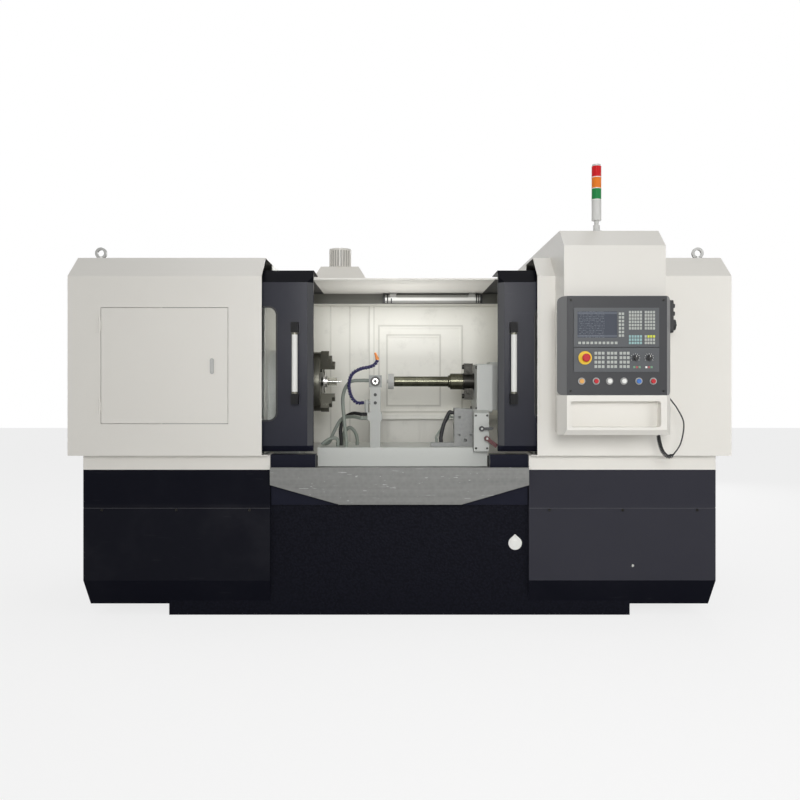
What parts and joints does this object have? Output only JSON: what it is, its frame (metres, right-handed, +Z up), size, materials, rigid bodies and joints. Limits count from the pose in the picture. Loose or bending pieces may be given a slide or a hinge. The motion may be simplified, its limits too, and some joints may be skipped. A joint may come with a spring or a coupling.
{
  "type": "internal cylindrical grinding machine",
  "caption": "Floor-standing internal cylindrical grinding machine: enclosed bed, sliding front doors, chuck workhead, quill wheelhead, dresser and a control console with a signal tower.",
  "frame": {"origin": "on the floor at the middle of the overall width and depth", "axes": "+X to the operator's right along the grinding axis, +Y to the rear, +Z up"},
  "size_m": [3.52, 1.8, 2.396],
  "materials": {
    "white_paint": "satin",
    "inner_paint": "satin",
    "navy_paint": "satin, orange peel",
    "bare_sheet": "scratched",
    "machine_grey": "satin",
    "bright_steel": "turned",
    "oiled_steel": "oiled",
    "black_oxide": "black oxide",
    "console_grey": "fine texture",
    "panel_grey": "matt",
    "black_plastic": "matt",
    "white_plastic": "gloss",
    "red_plastic": "gloss",
    "amber_plastic": "gloss",
    "blue_plastic": "gloss",
    "tower_plastic": "clear and coloured lenses",
    "hose_blue": "satin",
    "hose_grey": "ribbed",
    "black_rubber": "matt",
    "abrasive": "grit",
    "door_glass": "clear"
  },
  "bodies": {
    "frame": {"bed": "navy_paint", "base_skirts": "navy_paint", "left_enclosure": "white_paint", "right_enclosure": "white_paint", "splash_guard": "inner_paint", "roof": "white_paint", "door_sills": "navy_paint", "apron": "bare_sheet", "table": "machine_grey", "door_rail": "bright_steel", "work_lamp": "white_plastic", "mist_extractor": "white_paint", "lifting_eyes": "bright_steel", "control_cabinet": "white_paint", "console_housing": "console_grey", "control_panels": "panel_grey", "storage_tray": "white_paint", "signal_tower": "tower_plastic", "oil_sight": "white_plastic", "workhead": "machine_grey", "spindle_motor": "machine_grey", "drive_belt": "black_rubber", "dresser": "machine_grey", "coolant_hose": "hose_blue", "table_conduits": "hose_grey", "wheelhead_ways": "bright_steel", "pendant": "black_plastic", "pendant_cord": "black_rubber"},
    "left_door": {"left_door": "navy_paint", "left_window": "door_glass", "left_handle": "white_plastic"},
    "right_door": {"right_door": "navy_paint", "right_window": "door_glass", "right_handle": "white_plastic"},
    "access_door": {"access_door": "white_paint"},
    "access_latch": {"access_latch": "bright_steel"},
    "work_spindle": {"chuck": "black_oxide", "work_spindle": "bright_steel"},
    "jaw_1": {"chuck_jaw_1": "black_oxide"},
    "jaw_2": {"chuck_jaw_2": "black_oxide"},
    "jaw_3": {"chuck_jaw_3": "black_oxide"},
    "motor_pulley": {"motor_pulley": "bright_steel"},
    "x_carriage": {"x_carriage": "machine_grey"},
    "wheelhead": {"wheelhead": "machine_grey", "quill": "oiled_steel", "quill_clamp": "black_oxide", "wheelhead_hose": "black_rubber"},
    "grinding_wheel": {"grinding_wheel": "abrasive"},
    "coolant_lever": {"coolant_lever": "black_plastic"},
    "drain_handle": {"drain_handle": "red_plastic"},
    "estop": {"estop": "red_plastic"},
    "knob_1": {"knob_1": "black_plastic"},
    "knob_2": {"knob_2": "black_plastic"},
    "pendant_wheel": {"pendant_wheel": "black_plastic"},
    "button_1": {"button_1": "amber_plastic"},
    "button_2": {"button_2": "red_plastic"},
    "button_3": {"button_3": "white_plastic"},
    "button_4": {"button_4": "white_plastic"},
    "button_5": {"button_5": "blue_plastic"},
    "button_6": {"button_6": "red_plastic"}
  },
  "joints": [
    {"name": "left_door_slide", "type": "slide", "parent": "frame", "child": "left_door", "axis": [1, 0, 0], "range_m": [0, 0.496]},
    {"name": "right_door_slide", "type": "slide", "parent": "frame", "child": "right_door", "axis": [-1, 0, 0], "range_m": [0, 0.496]},
    {"name": "access_door_swing", "type": "hinge", "parent": "frame", "child": "access_door", "pos_m": [-1.589, -0.558, 1.3445], "axis": [0, 0, -1], "range_deg": [0, 110]},
    {"name": "access_latch_turn", "type": "hinge", "parent": "access_door", "child": "access_latch", "pos_m": [-0.994, -0.555, 1.342], "axis": [0, 1, 0], "range_deg": [0, 90]},
    {"name": "chuck_spin", "type": "hinge", "parent": "frame", "child": "work_spindle", "pos_m": [-0.5, -0.155, 1.263], "axis": [1, 0, 0], "continuous": true},
    {"name": "jaw_1_slide", "type": "slide", "parent": "work_spindle", "child": "jaw_1", "axis": [0, 1, 0], "range_m": [-0.012, 0.012]},
    {"name": "jaw_2_slide", "type": "slide", "parent": "work_spindle", "child": "jaw_2", "axis": [0, -0.5, 0.866], "range_m": [-0.012, 0.012]},
    {"name": "jaw_3_slide", "type": "slide", "parent": "work_spindle", "child": "jaw_3", "axis": [0, -0.5, -0.866], "range_m": [-0.012, 0.012]},
    {"name": "motor_spin", "type": "hinge", "parent": "frame", "child": "motor_pulley", "pos_m": [-1.2, -0.155, 1.573], "axis": [1, 0, 0], "continuous": true},
    {"name": "wheelhead_travel", "type": "slide", "parent": "frame", "child": "x_carriage", "axis": [-1, 0, 0], "range_m": [0, 0.22]},
    {"name": "cross_feed", "type": "slide", "parent": "x_carriage", "child": "wheelhead", "axis": [0, 1, 0], "range_m": [-0.012, 0.012]},
    {"name": "wheel_spin", "type": "hinge", "parent": "wheelhead", "child": "grinding_wheel", "pos_m": [0, -0.155, 1.263], "axis": [1, 0, 0], "continuous": true},
    {"name": "coolant_lever_turn", "type": "hinge", "parent": "wheelhead", "child": "coolant_lever", "pos_m": [0.45, -0.395, 1.004], "axis": [0, -1, 0], "range_deg": [0, 90]},
    {"name": "drain_handle_turn", "type": "hinge", "parent": "wheelhead", "child": "drain_handle", "pos_m": [0.478, -0.395, 0.95], "axis": [0, 1, 0], "range_deg": [0, 90]},
    {"name": "estop_press", "type": "slide", "parent": "frame", "child": "estop", "axis": [0, 1, 0], "range_m": [0, 0.006], "stiffness_N_per_m": 1200},
    {"name": "button_1_press", "type": "slide", "parent": "frame", "child": "button_1", "axis": [0, 1, 0], "range_m": [0, 0.004], "stiffness_N_per_m": 500},
    {"name": "button_2_press", "type": "slide", "parent": "frame", "child": "button_2", "axis": [0, 1, 0], "range_m": [0, 0.004], "stiffness_N_per_m": 500},
    {"name": "button_3_press", "type": "slide", "parent": "frame", "child": "button_3", "axis": [0, 1, 0], "range_m": [0, 0.004], "stiffness_N_per_m": 500},
    {"name": "button_4_press", "type": "slide", "parent": "frame", "child": "button_4", "axis": [0, 1, 0], "range_m": [0, 0.004], "stiffness_N_per_m": 500},
    {"name": "button_5_press", "type": "slide", "parent": "frame", "child": "button_5", "axis": [0, 1, 0], "range_m": [0, 0.004], "stiffness_N_per_m": 500},
    {"name": "button_6_press", "type": "slide", "parent": "frame", "child": "button_6", "axis": [0, 1, 0], "range_m": [0, 0.004], "stiffness_N_per_m": 500},
    {"name": "knob_1_turn", "type": "hinge", "parent": "frame", "child": "knob_1", "pos_m": [1.164, -0.855, 1.376], "axis": [0, 1, 0], "range_deg": [-135, 135]},
    {"name": "knob_2_turn", "type": "hinge", "parent": "frame", "child": "knob_2", "pos_m": [1.232, -0.855, 1.376], "axis": [0, 1, 0], "range_deg": [-135, 135]},
    {"name": "pendant_wheel_spin", "type": "hinge", "parent": "frame", "child": "pendant_wheel", "pos_m": [1.39, -0.734, 1.548], "axis": [1, 0, 0], "continuous": true}
  ],
  "couplings": [
    {"joint": "jaw_2_slide", "follows": "jaw_1_slide", "ratio": 1},
    {"joint": "jaw_3_slide", "follows": "jaw_1_slide", "ratio": 1},
    {"joint": "motor_spin", "follows": "chuck_spin", "ratio": 1.9514}
  ]
}
